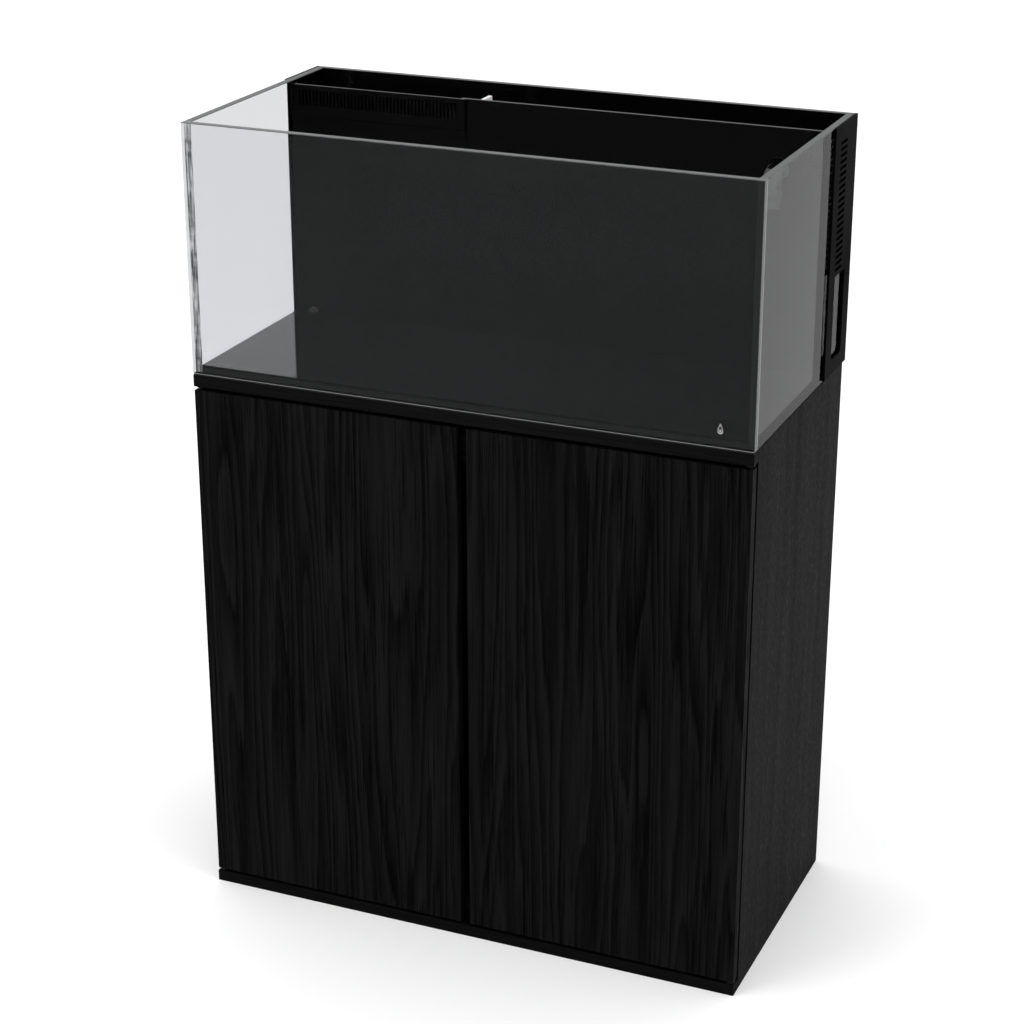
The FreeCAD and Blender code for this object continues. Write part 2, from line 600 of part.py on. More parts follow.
def media_basket():
    """Open slotted basket on four feet, and the foam block in it."""
    piece = new_body("media_basket", "basket_x", "basket_y", "basket_low")
    outline = new_sketch(piece, "XY_Plane", "basket_outline")
    rectangle(outline, "0", "basket_width", "0", "basket_depth")
    pad(piece, outline, "basket_height")
    hollow = new_sketch(piece, "XY_Plane", "basket_hollow", offset="basket_height")
    wall = "basket_wall"
    rectangle(hollow, wall, f"basket_width - {wall}", wall, f"basket_depth - {wall}")
    pocket(piece, hollow, "basket_height - basket_wall")
    slot = new_sketch(piece, "XZ_Plane", "basket_slot_outline")
    start = "(basket_width - basket_slot - basket_slot_pitch * (basket_slot_count - 1)) / 2"
    rectangle(slot, start, f"{start} + basket_slot", "basket_slot_low", "basket_slot_high")
    first = pocket(piece, slot, "basket_depth")
    repeat(piece, first, slot, "H_Axis", "basket_slot_pitch", "basket_slot_count")
    feet = new_sketch(piece, "XY_Plane", "basket_feet")
    for x in ("basket_foot", "basket_width - basket_foot"):
        for y in ("basket_foot", "basket_depth - basket_foot"):
            circle(feet, x, y, "basket_foot")
    pad(piece, feet, f"basket_low - {TANK_FLOOR}", reverse=True)

    gap = "(basket_wall + foam_gap)"
    foam = box("foam_blank", (f"basket_x + {gap}", f"basket_x + basket_width - {gap}"),
               (f"basket_y + {gap}", f"basket_y + basket_depth - {gap}"),
               ("basket_low + basket_wall", "foam_top"))
    doc.recompute()
    soft = part("Part::Fillet", "media_foam")
    soft.Base = foam
    radius = value("foam_round")
    upright = [abs(edge.tangentAt(edge.FirstParameter).z) > 0.9 for edge in foam.Shape.Edges]
    soft.Edges = [(i, radius, radius) for i, stands in enumerate(upright, 1) if stands]


def return_pump():
    """Submersible pump on four rubber feet, drawing through a strainer and delivering upwards."""
    where = {"y": "pump_y", "z": "pump_z"}
    half = "pump_plate_half"
    plate = box("pump_plate", ("motor_left", "volute_right"), (f"pump_y - {half}", f"pump_y + {half}"),
                ("pump_plate_low", "pump_plate_low + pump_plate_thick"))
    stand_low = "pump_plate_low + pump_plate_thick"
    saddle = box("pump_saddle", ("motor_left + saddle_inset", "motor_right"),
                 ("pump_y - saddle_half", "pump_y + saddle_half"), (stand_low, "pump_z - saddle_sink"))
    motor = rod("pump_motor", "x", "motor_radius", "motor_left", "motor_right", **where)
    ribs = []
    for i in range(5):
        start = f"motor_left + rib_first + {i} * rib_pitch"
        ends = (start, f"{start} + rib_width")
        ribs.append(rod(f"pump_rib_{i}", "x", "motor_radius + rib_proud", *ends, **where))
    volute = rod("pump_volute", "x", "volute_radius", "motor_right", "volute_right", **where)
    axis = {"x": "return_x", "y": "pump_y"}
    spout = rod("pump_spout", "z", "spout_radius", "pump_z + spout_root", "spout_top", **axis)
    root = rod("pump_spout_root", "z", "hose_radius", "pump_z + spout_root", "hose_low", **axis)
    whole = fuse("pump_whole", [plate, saddle, motor, *ribs, volute, spout, root])
    bore = rod("pump_spout_bore", "z", "spout_bore", "pump_z + spout_bore_low", "spout_top", **axis)
    cut("pump_body", whole, [bore])

    cage = rod("strainer_cage", "x", "strainer_radius", "volute_right", "strainer_right", **where)
    hollow = rod("strainer_hollow", "x", "strainer_radius - strainer_wall", "volute_right",
                 "strainer_right - strainer_wall", **where)
    along = ("volute_right + strainer_band", "strainer_right - strainer_band")
    across = ("pump_y - strainer_radius", "pump_y + strainer_radius")
    slots = []
    for i in range(-2, 3):
        middle = f"pump_z + {i} * strainer_slot_pitch"
        height = (f"{middle} - strainer_slot / 2", f"{middle} + strainer_slot / 2")
        slots.append(box(f"strainer_slot_{i}", along, across, height))
    cut("pump_strainer", cage, [hollow, *slots])

    feet = []
    for x in ("motor_left + foot_radius", "volute_right - foot_radius"):
        for y in (f"pump_y - {half} + foot_radius", f"pump_y + {half} - foot_radius"):
            tag = len(feet)
            cup = part("Part::Cone", f"foot_cup_{tag}")
            place(cup, x, y, TANK_FLOOR)
            bind(cup, Radius1="foot_radius", Radius2="foot_neck",
                 Height=f"pump_plate_low - {TANK_FLOOR} - foot_neck_height")
            neck = rod(f"foot_neck_{tag}", "z", "foot_neck", "pump_plate_low - foot_neck_height",
                       "pump_plate_low", x=x, y=y)
            feet.append(fuse(f"foot_{tag}", [cup, neck]))
    group("pump_feet", feet)

    face = "motor_left - gland_nut"
    nut = rod("gland_collar", "x", "gland_radius", face, "motor_left", **where)
    nose = part("Part::Cone", "gland_tail")
    nose.Placement = FreeCAD.Placement(Vector(), Rotation(Vector(0, 1, 0), -90))
    place(nose, face, "pump_y", "pump_z")
    bind(nose, Radius1="gland_root_radius", Radius2="gland_tip_radius", Height="gland_nose")
    depth = (f"{face} - gland_nose", "motor_left - gland_bore_depth")
    hole = rod("gland_hole", "x", "gland_bore", *depth, **where)
    cut("pump_gland", fuse("gland_whole", [nut, nose]), [hole])


def hose_run(tag, radius, low, start):
    """Hose shape of one radius: up from the pump, round a bend and forward to the bulkhead."""
    bend_y, bend_z = "pump_y - hose_bend", "return_z - hose_bend"
    return fuse(f"hose_{tag}", [
        rod(f"hose_rise_{tag}", "z", radius, low, bend_z, x="return_x", y="pump_y"),
        quarter_bend(f"hose_bend_{tag}", "hose_bend", radius, bend_y, bend_z, rises=True),
        rod(f"hose_end_{tag}", "y", radius, start, bend_y, x="return_x", z="return_z"),
    ])


def clamp(tag, axis, start, **where):
    """Worm-drive band with its screw housing."""
    end = f"{start} + clamp_width"
    band = rod(f"clamp_band_{tag}", axis, "clamp_radius", start, end, **where)
    along = (start, end)
    outward = "y" if axis == "z" else "z"
    rise = (f"{where[outward]} + screw_root", f"{where[outward]} + screw_top")
    width = (f"{where['x']} - screw_half", f"{where['x']} + screw_half")
    limits = (width, rise, along) if axis == "z" else (width, along, rise)
    housing = box(f"clamp_box_{tag}", *limits)
    hollow = rod(f"clamp_bore_{tag}", axis, "hose_radius", start, end, **where)
    return cut(f"clamp_{tag}", fuse(f"clamp_whole_{tag}", [band, housing]), [hollow])


def return_line():
    cut("return_hose", hose_run("outer", "hose_radius", "hose_low", "hose_start_y"),
        [hose_run("bore", "hose_bore", "hose_low", "hose_start_y")])
    group("hose_clamps", [
        clamp("pump", "z", "hose_low + clamp_inset", x="return_x", y="pump_y"),
        clamp("bulkhead", "y", "hose_start_y + clamp_gap", x="return_x", z="return_z"),
    ])

    where = {"x": "return_x", "z": "return_z"}
    gasket = ("partition_y - gasket_thick", "partition_y")
    whole = fuse("bulkhead_whole", [
        rod("bulkhead_flange_rod", "y", "bulkhead_radius", FLANGE_FACE, gasket[0], **where),
        rod("bulkhead_barrel_rod", "y", "bulkhead_barrel", gasket[0], "bulkhead_back", **where),
        rod("bulkhead_barb", "y", "spout_radius", "bulkhead_back", "barb_back", **where),
    ])
    bores = [
        rod("bulkhead_seat", "y", "bulkhead_bore", FLANGE_FACE, "bulkhead_back - bulkhead_stop", **where),
        rod("bulkhead_way", "y", "spout_bore", "bulkhead_back - bulkhead_stop - 1", "barb_back", **where),
    ]
    cut("bulkhead", whole, bores)
    disc = rod("gasket_disc", "y", "bulkhead_radius", *gasket, **where)
    cut("bulkhead_gasket", disc, [rod("gasket_bore", "y", "bulkhead_barrel", *gasket, **where)])

    hexagon = part("Part::Prism", "nut_hexagon")
    hexagon.Polygon = 6
    hexagon.Placement = FreeCAD.Placement(Vector(), TURNED["y"])
    place(hexagon, "return_x", CHAMBER_FRONT, "return_z")
    bind(hexagon, Circumradius="nut_radius", Height="nut_thick")
    ends = (CHAMBER_FRONT, f"{CHAMBER_FRONT} + nut_thick")
    cut("bulkhead_nut", hexagon, [rod("nut_bore", "y", "bulkhead_barrel", *ends, **where)])


def elbow_run(tag, radius, neck, start):
    """Elbow shape of one radius: forward from the bulkhead, then round a bend and down."""
    bend_y = f"{FLANGE_FACE} - elbow_reach"
    return [
        rod(f"elbow_reach_{tag}", "y", radius, bend_y, start, x="return_x", z="return_z"),
        quarter_bend(f"elbow_bend_{tag}", "elbow_bend", radius, bend_y, "return_z - elbow_bend", rises=False),
        rod(f"elbow_neck_{tag}", "z", neck, BALL_Z, "return_z - elbow_bend", x="return_x", y=OUTLET_Y),
    ]


def return_outlet():
    """Elbow that swivels in the bulkhead, and a nozzle that tilts on its ball."""
    where = {"x": "return_x", "z": "return_z"}
    down = {"x": "return_x", "y": OUTLET_Y}
    face = f"{FLANGE_FACE} - swivel_gap"
    end = f"{FLANGE_FACE} + swivel_length"
    outer = fuse("elbow_outer", [
        *elbow_run("outer", "elbow_radius", "elbow_neck", face),
        rod("elbow_collar", "y", "swivel_collar", f"{face} - swivel_collar_thick", face, **where),
        rod("elbow_spigot", "y", "bulkhead_bore - swivel_play", face, end, **where),
        ball("elbow_ball", "ball_radius", "return_x", OUTLET_Y, BALL_Z),
    ])
    inner = elbow_run("bore", "elbow_bore", "elbow_bore", end)
    mouth = rod("elbow_mouth", "z", "elbow_bore", f"{BALL_Z} - ball_radius", BALL_Z, **down)
    cut("return_elbow", outer, [fuse("elbow_inner", [*inner, mouth])])

    outside = "(ball_radius + cup_gap + cup_wall)"
    cup = ball("nozzle_cup", outside, "return_x", OUTLET_Y, BALL_Z)
    tip = part("Part::Cone", "nozzle_tip")
    place(tip, "return_x", OUTLET_Y, f"{BALL_Z} - tip_drop")
    bind(tip, Radius1="tip_radius", Radius2="tip_root_radius", Height="tip_drop - tip_root")
    hollow = ball("nozzle_hollow", "ball_radius + cup_gap", "return_x", OUTLET_Y, BALL_Z)
    bore = rod("nozzle_bore", "z", "elbow_bore", f"{BALL_Z} - tip_drop", BALL_Z, **down)
    above = box("nozzle_above", (f"return_x - {outside}", f"return_x + {outside}"),
                (f"{OUTLET_Y} - {outside}", f"{OUTLET_Y} + {outside}"),
                (f"{BALL_Z} + cup_rim", f"{BALL_Z} + {outside}"))
    cut("return_nozzle", fuse("nozzle_whole", [cup, tip]), [hollow, bore, above])


def drain_grille():
    """Small half-round slotted grille low on the partition."""
    ys = ("partition_y - grille_depth", "partition_y")
    dome = rod("grille_dome", "y", "grille_radius", *ys, x="grille_x", z=TANK_FLOOR)
    across = ("grille_x - grille_radius", "grille_x + grille_radius")
    buried = box("grille_buried", across, ys, (f"{TANK_FLOOR} - grille_radius", TANK_FLOOR))
    slots = []
    for i in (-1, 0, 1):
        middle = f"grille_x + {i} * grille_pitch"
        slots.append(box(f"grille_slot_{i}", (f"{middle} - grille_slot / 2", f"{middle} + grille_slot / 2"),
                         (ys[0], f"{ys[1]} - grille_band"),
                         (f"{TANK_FLOOR} + grille_band", f"{TANK_FLOOR} + grille_radius - grille_band * 2")))
    cut("drain_grille", dome, [buried, *slots])


NODES = [
    "side_panel_left", "side_panel_right", "top_board", "bottom_board", "back_panel", "cable_grommets",
    "upper_stretcher", "lower_sill", "rear_stretcher", "top_rail", "bottom_rail", "cam_locks", "cam_bolts",
    "door_left", "door_right", "pivot_pins_left", "pivot_pins_right", "pivot_bushes",
    "strike_plates_left", "strike_plates_right", "catch_magnets", "door_bumpers",
    "levelling_mat", "tank_floor", "front_pane", "left_pane", "right_pane", "back_wall",
    "partition", "overflow_divider", "baffle", "pump_divider", "weir_comb", "comb_guides",
    "side_cover_left", "side_cover_right",
    "sock_shelf", "sock_ring", "filter_sock", "media_basket", "media_foam",
    "pump_body", "pump_strainer", "pump_feet", "pump_gland", "return_hose", "hose_clamps",
    "bulkhead", "bulkhead_gasket", "bulkhead_nut", "return_elbow", "return_nozzle", "drain_grille",
]


def check_and_write():
    doc.recompute()
    for thing in doc.Objects:
        assert not {"Invalid", "Error"} & set(thing.State), f"{thing.Label} is {thing.State}"
    os.makedirs("parts", exist_ok=True)
    pieces = {label: doc.getObjectsByLabel(label)[0] for label in NODES}
    for label, piece in pieces.items():
        shape = piece.Shape
        assert not shape.isNull() and shape.isValid() and shape.Solids, f"{label} has no valid solid"
    for label, piece in pieces.items():
        piece.Shape.exportStep(os.path.join("parts", f"{label}.step"))
        print(f"{label}: {len(piece.Shape.Solids)} solids, {piece.Shape.Volume / 1000:.2f} cm3")


carcass()
front_rails()
back_panel()
for turn, name in ((LEFT, "left"), (RIGHT, "right")):
    door(turn, name)
pivot_bushes()
catches()
tank_shell()
partition()
dividers()
weir()
side_covers()
filter_sock()
media_basket()
return_pump()
return_line()
return_outlet()
drain_grille()
check_and_write()
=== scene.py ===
"""Rimless aquarium on a black woodgrain cabinet: materials, soft pieces, floor, light and camera."""
import math

import bmesh
import bpy
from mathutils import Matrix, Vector, noise


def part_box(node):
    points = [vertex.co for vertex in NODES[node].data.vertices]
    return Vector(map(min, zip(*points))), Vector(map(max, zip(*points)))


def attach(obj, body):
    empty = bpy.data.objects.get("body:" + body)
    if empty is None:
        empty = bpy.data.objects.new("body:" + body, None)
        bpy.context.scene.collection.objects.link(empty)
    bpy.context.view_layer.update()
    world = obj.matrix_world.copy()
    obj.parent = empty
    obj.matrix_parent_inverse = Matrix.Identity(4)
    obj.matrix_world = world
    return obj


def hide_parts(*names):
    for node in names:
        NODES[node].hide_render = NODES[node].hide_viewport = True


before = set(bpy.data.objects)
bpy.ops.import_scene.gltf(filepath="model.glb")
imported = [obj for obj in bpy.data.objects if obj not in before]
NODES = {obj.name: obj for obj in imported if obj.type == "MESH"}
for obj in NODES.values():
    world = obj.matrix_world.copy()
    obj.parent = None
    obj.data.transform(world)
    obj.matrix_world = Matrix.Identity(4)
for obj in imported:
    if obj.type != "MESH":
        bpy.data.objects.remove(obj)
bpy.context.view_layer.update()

MM = 0.001

# ------------------------------------------------------------------ camera

FOCAL_LENGTH = 85.53
SENSOR = 36.0
AZIMUTH = math.radians(22.95)
ELEVATION = math.radians(21.80)
CAMERA_AT = Vector((1.4044, -3.3499, 2.1113))


def set_camera():
    data = bpy.data.cameras.new("view")
    data.lens = FOCAL_LENGTH
    data.sensor_width = SENSOR
    data.clip_end = 200
    camera = bpy.data.objects.new("view", data)
    camera.location = CAMERA_AT
    camera.rotation_euler = (math.pi / 2 - ELEVATION, 0, AZIMUTH)
    bpy.context.scene.collection.objects.link(camera)
    bpy.context.scene.camera = camera


# ------------------------------------------------------------------ material building


class Graph:
    """A material whose nodes are added and wired by name."""

    def __init__(self, name, **sockets):
        self.material = bpy.data.materials.new(name)
        self.material.use_nodes = True
        self.tree = self.material.node_tree
        self.shader = self.tree.nodes["Principled BSDF"]
        for socket, number in sockets.items():
            self.shader.inputs[socket.replace("_", " ")].default_value = number
        self.where = self.tree.nodes.new("ShaderNodeTexCoord").outputs["Object"]

    def add(self, kind, inputs=None, **settings):
        """New node; each input is wired to a socket or set to a plain value."""
        node = self.tree.nodes.new("ShaderNode" + kind)
        for name, setting in settings.items():
            setattr(node, name, setting)
        for socket, source in (inputs or {}).items():
            if isinstance(source, bpy.types.NodeSocket):
                self.tree.links.new(source, node.inputs[socket])
            else:
                node.inputs[socket].default_value = source
        return node

    def scaled(self, scale, shift=(0, 0, 0)):
        """Object coordinates scaled and shifted."""
        inputs = {"Vector": self.where, "Scale": scale, "Location": shift}
        return self.add("Mapping", inputs).outputs["Vector"]

    def place(self):
        """X, Y and Z of the surface point, in metres in the row frame."""
        outputs = self.add("SeparateXYZ", {"Vector": self.where}).outputs
        return outputs["X"], outputs["Y"], outputs["Z"]

    def noise(self, vector, scale, detail=3.0, rough=0.5, distortion=0.0):
        inputs = {"Vector": vector, "Scale": scale, "Detail": detail, "Roughness": rough}
        inputs["Distortion"] = distortion
        return self.add("TexNoise", inputs).outputs["Fac"]

    def maths(self, operation, first, second=0.0, third=0.0):
        return self.add("Math", {0: first, 1: second, 2: third}, operation=operation).outputs[0]

    def spread(self, value, low, high, to_low=0.0, to_high=1.0):
        """Value moved from one range to another, held at its ends."""
        inputs = {"Value": value, "From Min": low, "From Max": high, "To Min": to_low, "To Max": to_high}
        return self.add("MapRange", inputs).outputs["Result"]

    def blend(self, factor, first, second):
        """The first colour where the factor is 0, the second where it is 1."""
        mix = self.add("Mix", {0: factor, 6: first, 7: second}, data_type="RGBA")
        return mix.outputs[2]

    def bump(self, height, strength, depth):
        inputs = {"Height": height, "Strength": strength, "Distance": depth}
        self.shader_link("Normal", self.add("Bump", inputs).outputs["Normal"])

    def shader_link(self, socket, source):
        self.tree.links.new(source, self.shader.inputs[socket])


def grey(level, tint=(1, 1, 1)):
    """Colour of one brightness, with a slight tint."""
    return (level * tint[0], level * tint[1], level * tint[2], 1)


def dress(material, *names):
    """Gives CAD nodes one material."""
    for name in names:
        slots = NODES[name].data.materials
        slots.clear()
        slots.append(material)


# ------------------------------------------------------------------ laminate

LAMINATE_LEVEL = 0.0025
RINGS_PER_METRE = 42.0
RING_BEND = 10.0
RING_WANDER = 1.1


def growth_rings(g, stretched, along):
    """Bent growth lines: a slow field over a steady slope across the grain, cut into rings."""
    flow = stretched(0.06)
    spot = g.add("SeparateXYZ", {"Vector": flow})
    first = spot.outputs["Z" if along == "x" else "X"]
    across = g.maths("ADD", first, spot.outputs["Y"])
    field = g.noise(flow, 13.0, detail=2.0, rough=0.4, distortion=0.2)
    wander = g.noise(stretched(0.04), 60.0, detail=3.0, rough=0.6)
    rings = g.maths("MULTIPLY_ADD", field, RING_BEND, g.maths("MULTIPLY", across, RINGS_PER_METRE))
    phase = g.maths("FRACT", g.maths("MULTIPLY_ADD", wander, RING_WANDER, rings))
    early_wood = g.spread(phase, 0.0, 0.78)
    late_wood = g.spread(phase, 0.86, 1.0, 1.0, 0.0)
    return g.maths("MULTIPLY", early_wood, late_wood)


def laminate(name, along, shift, gloss=0.014, figure=1.0, depth=1.0, dash=0.055):
    """Black woodgrain laminate: growth lines with calm lens shapes, pores and short ticks over them.

    figure says how much the growth lines show, depth how far the tones spread, dash how short the ticks are.
    """
    g = Graph(name, Specular_IOR_Level=gloss)

    def stretched(share):
        scale = [1.0, 1.0, 1.0]
        scale["xyz".index(along)] = share
        return g.scaled(scale, shift)

    ring = growth_rings(g, stretched, along)
    fibre = g.noise(stretched(0.4 * dash), 360.0, detail=4.0, rough=0.68)
    ticks = g.noise(stretched(dash), 700.0, detail=2.0, rough=0.5)
    patch = g.noise(stretched(0.05), 26.0, detail=3.0, rough=0.55)
    calm = g.spread(g.noise(stretched(0.09), 19.0, detail=2.0), 0.40, 0.56)
    pores = g.maths("MAXIMUM", g.spread(fibre, 0.34, 0.47), g.maths("MULTIPLY", calm, 0.85))
    ridge = g.spread(ticks, 0.56, 0.70)
    ring_share = 0.42 * figure
    fibre_share = 0.84 - 0.36 * figure
    ridge_share = 0.26 - 0.10 * figure
    patch_share = 0.62
    mixed = g.maths("MULTIPLY_ADD", ring, ring_share, g.maths("MULTIPLY", fibre, fibre_share))
    mixed = g.maths("MULTIPLY_ADD", patch, patch_share, mixed)
    mixed = g.maths("MULTIPLY_ADD", ridge, ridge_share, mixed)
    tone = g.spread(mixed, 0.44, 1.06)
    dark = grey(LAMINATE_LEVEL * (1 - 0.84 * depth))
    pale = grey(LAMINATE_LEVEL * (1 + 1.35 * depth), (1, 1, 0.985))
    pore = grey(LAMINATE_LEVEL * (1 - 0.92 * depth))
    g.shader_link("Base Color", g.blend(pores, pore, g.blend(tone, dark, pale)))
    sheen = g.maths("MULTIPLY_ADD", ridge, 0.5, g.maths("MULTIPLY", tone, 0.5))
    g.shader_link("Roughness", g.spread(sheen, 0.0, 1.0, 0.68, 0.38))
    height = g.maths("MULTIPLY_ADD", ridge, 0.5, g.maths("MULTIPLY_ADD", ring, 0.4, pores))
    g.bump(height, 0.35, 0.3 * MM)
    return g.material


# ------------------------------------------------------------------ glass and black panels


EDGE_COVER = 0.85
JOINT_COVER = 0.92
JOINT_GLOW = 0.9
# emission colours of painted light: the left end face's painted highlight and the pale mottled glow of the
# left joint bead
PAINTED_END_HIGHLIGHT = (0.80, 0.81, 0.82, 1)
PAINTED_BEAD_GLOW_DIM = (0.08, 0.08, 0.085, 1)
PAINTED_BEAD_GLOW_PALE = (0.64, 0.65, 0.66, 1)
GROUND_DARK = (0.065, 0.067, 0.067, 1)
GROUND_PALE = (0.095, 0.098, 0.10, 1)


def pane_masks(g):
    """Where a pane is a ground edge, an end face, a glued joint, and the left-hand corner where painted
    light goes on the joint and the end face.
    """
    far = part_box("front_pane")[1]
    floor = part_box("tank_floor")[1]
    x, y, height = g.place()
    aside = g.maths("ABSOLUTE", x)
    top = g.spread(height, far.z - 1.2 * MM, far.z - 0.9 * MM)
    front = g.maths("LESS_THAN", y, far.y + 0.2 * MM)
    end = g.maths("MULTIPLY", g.spread(aside, far.x - 0.25 * MM, far.x - 0.15 * MM), front)
    behind = g.maths("COMPARE", y, far.y, 0.5 * MM)
    corner = g.spread(aside, floor.x - 0.1 * MM, floor.x)
    foot = g.maths("LESS_THAN", height, floor.z)
    joint = g.maths("MULTIPLY", behind, g.maths("MAXIMUM", corner, foot))
    # left-hand corner mask: the joint and the end face there get painted light
    painted_light_side = g.maths("MULTIPLY", corner, g.maths("LESS_THAN", x, 0.0))
    return g.maths("MAXIMUM", top, end), end, joint, painted_light_side


def clear_glass(name, tint, index):
    """Low-iron pane: ground grey edges, a streaky clear bead in the corner joints, faint smears; the joints
    glow with painted light, faint and streaky on the right, pale and mottled on the left, and the left end
    face glows as a painted highlight.
    """
    g = Graph(name, Specular_Tint=(0.95, 0.975, 1, 1), IOR=index)
    edge, end, joint, painted_light_side = pane_masks(g)
    streaks = g.noise(g.scaled((1, 1, 0.05)), 420.0, detail=3.0, rough=0.6, distortion=0.4)
    breaks = g.noise(g.scaled((0.4, 1, 1)), 15.0, detail=4.0, rough=0.7)
    mottle = g.maths("MULTIPLY_ADD", breaks, 0.4, g.maths("MULTIPLY", streaks, 0.6))
    # glow colour of the joints: faint dark streaks on the right, a pale mottled painted light on the left
    bead_painted_light = g.blend(g.spread(mottle, 0.43, 0.58), PAINTED_BEAD_GLOW_DIM, PAINTED_BEAD_GLOW_PALE)
    bead = g.blend(painted_light_side, g.blend(streaks, grey(0.012), grey(0.026)), bead_painted_light)
    smears = g.noise(g.scaled((1, 1, 0.35), (3.1, 0, 0)), 7.0, detail=1.0, rough=0.4, distortion=0.6)
    smeared = tuple(c * 0.985 for c in tint[:3]) + (1,)
    clear = g.blend(g.spread(smears, 0.55, 0.85), tint, smeared)
    ground = g.blend(g.noise(g.where, 180.0, detail=3.0), GROUND_DARK, GROUND_PALE)
    # emission on every joint and on the left end face, painting light onto the glass
    glow = g.maths("MAXIMUM", joint, g.maths("MULTIPLY", g.maths("MULTIPLY", end, painted_light_side), 0.9))
    joint_covered = g.maths("MULTIPLY", joint, JOINT_COVER)
    covered = g.maths("MAXIMUM", g.maths("MULTIPLY", edge, EDGE_COVER), joint_covered)
    g.shader_link("Emission Color", g.blend(end, bead, PAINTED_END_HIGHLIGHT))
    g.shader_link("Emission Strength", g.maths("MULTIPLY", glow, JOINT_GLOW))
    g.shader_link("Base Color", g.blend(edge, g.blend(joint, clear, grey(0.01)), ground))
    g.shader_link("Roughness", g.maths("MULTIPLY", edge, 0.3))
    g.shader_link("Transmission Weight", g.maths("SUBTRACT", 1.0, covered))
    return g.material


def black_panel(name, level, rough, specular, ripple=0.02, shift=(0, 0, 0)):
    """Polished black sheet with a slight ripple, uneven polish and a few specks of dust."""
    g = Graph(name, Specular_IOR_Level=specular)
    moved = g.scaled((1, 1, 1), shift)
    cloud = g.noise(moved, 7.0, detail=4.0, rough=0.55)
    specks = g.noise(moved, 900.0, detail=1.0)
    dust = g.spread(specks, 0.70, 0.78, 0.0, 1.0)
    base = g.blend(cloud, grey(level * 0.8), grey(level * 1.25, (1, 1, 1.03)))
    g.shader_link("Base Color", g.blend(g.maths("MULTIPLY", dust, 0.25), base, grey(level * 4 + 0.01)))
    g.shader_link("Roughness", g.spread(cloud, 0.35, 0.7, rough * 0.7, rough * 1.3))
    g.bump(g.noise(moved, 5.0, detail=1.0), ripple, 2 * MM)
    return g.material


def pale_panel(name, level, rough):
    """Pale translucent sheet, faintly cloudy, with fine sawn lines."""
    g = Graph(name, Subsurface_Weight=0.25, Subsurface_Scale=0.01)
    cloud = g.noise(g.where, 30.0, detail=4.0)
    lines = g.noise(g.scaled((1, 1, 0.02)), 500.0, detail=2.0)
    shade = g.maths("MULTIPLY_ADD", lines, 0.3, g.maths("MULTIPLY", cloud, 0.7))
    g.shader_link("Base Color", g.blend(shade, grey(level * 0.9), grey(level * 1.08, (0.99, 1, 1.01))))
    g.shader_link("Roughness", g.spread(cloud, 0.3, 0.7, rough * 0.8, rough * 1.2))
    g.bump(lines, 0.15, 0.1 * MM)
    return g.material


# ------------------------------------------------------------------ fittings, metal, rubber and cloth

# pale colour painted on the mat's top band: a painted highlight line
PAINTED_EDGE_HIGHLIGHT = (0.33, 0.34, 0.33, 1)


def moulded(name, level, rough, specular=0.3, tint=(1, 1, 1), grain=1400.0):
    """Injection-moulded plastic: fine spark texture and slight flow marks."""
    g = Graph(name, Specular_IOR_Level=specular)
    spark = g.noise(g.where, grain, detail=2.0, rough=0.7)
    flow = g.noise(g.scaled((1, 1, 0.4)), 60.0, detail=3.0, distortion=0.6)
    shade = g.maths("MULTIPLY_ADD", spark, 0.35, g.maths("MULTIPLY", flow, 0.65))
    g.shader_link("Base Color", g.blend(shade, grey(level * 0.75, tint), grey(level * 1.3, tint)))
    g.shader_link("Roughness", g.spread(flow, 0.3, 0.7, rough * 0.8, rough * 1.15))
    g.bump(spark, 0.25, 0.08 * MM)
    return g.material


def swivel_plastic(name, black_above):
    """Grey elbow moulding, black above the given height."""
    g = Graph(name, Specular_IOR_Level=0.03)
    seam = 0.4 * MM
    ball = g.spread(g.place()[2], black_above + seam, black_above - seam)
    flow = g.noise(g.scaled((1, 1, 0.4)), 60.0, detail=3.0, distortion=0.6)
    spark = g.noise(g.where, 1400.0, detail=2.0, rough=0.7)
    black = g.blend(flow, grey(0.0006), grey(0.0014))
    g.shader_link("Base Color", g.blend(ball, black, g.blend(flow, grey(0.05), grey(0.085))))
    g.shader_link("Roughness", g.spread(flow, 0.3, 0.7, 0.36, 0.5))
    g.bump(spark, 0.25, 0.08 * MM)
    return g.material


def metal(name, level, rough, tint=(1, 1, 1)):
    """Turned or rolled steel with fine lines and faint spotting."""
    g = Graph(name, Metallic=1.0)
    lines = g.noise(g.scaled((1, 1, 0.05)), 1800.0, detail=3.0)
    spots = g.noise(g.where, 240.0, detail=4.0, rough=0.6)
    shade = g.maths("MULTIPLY_ADD", lines, 0.5, g.maths("MULTIPLY", spots, 0.5))
    g.shader_link("Base Color", g.blend(shade, grey(level * 0.75, tint), grey(level * 1.15, tint)))
    g.shader_link("Roughness", g.spread(spots, 0.3, 0.7, rough * 0.75, rough * 1.3))
    g.bump(lines, 0.1, 0.05 * MM)
    return g.material


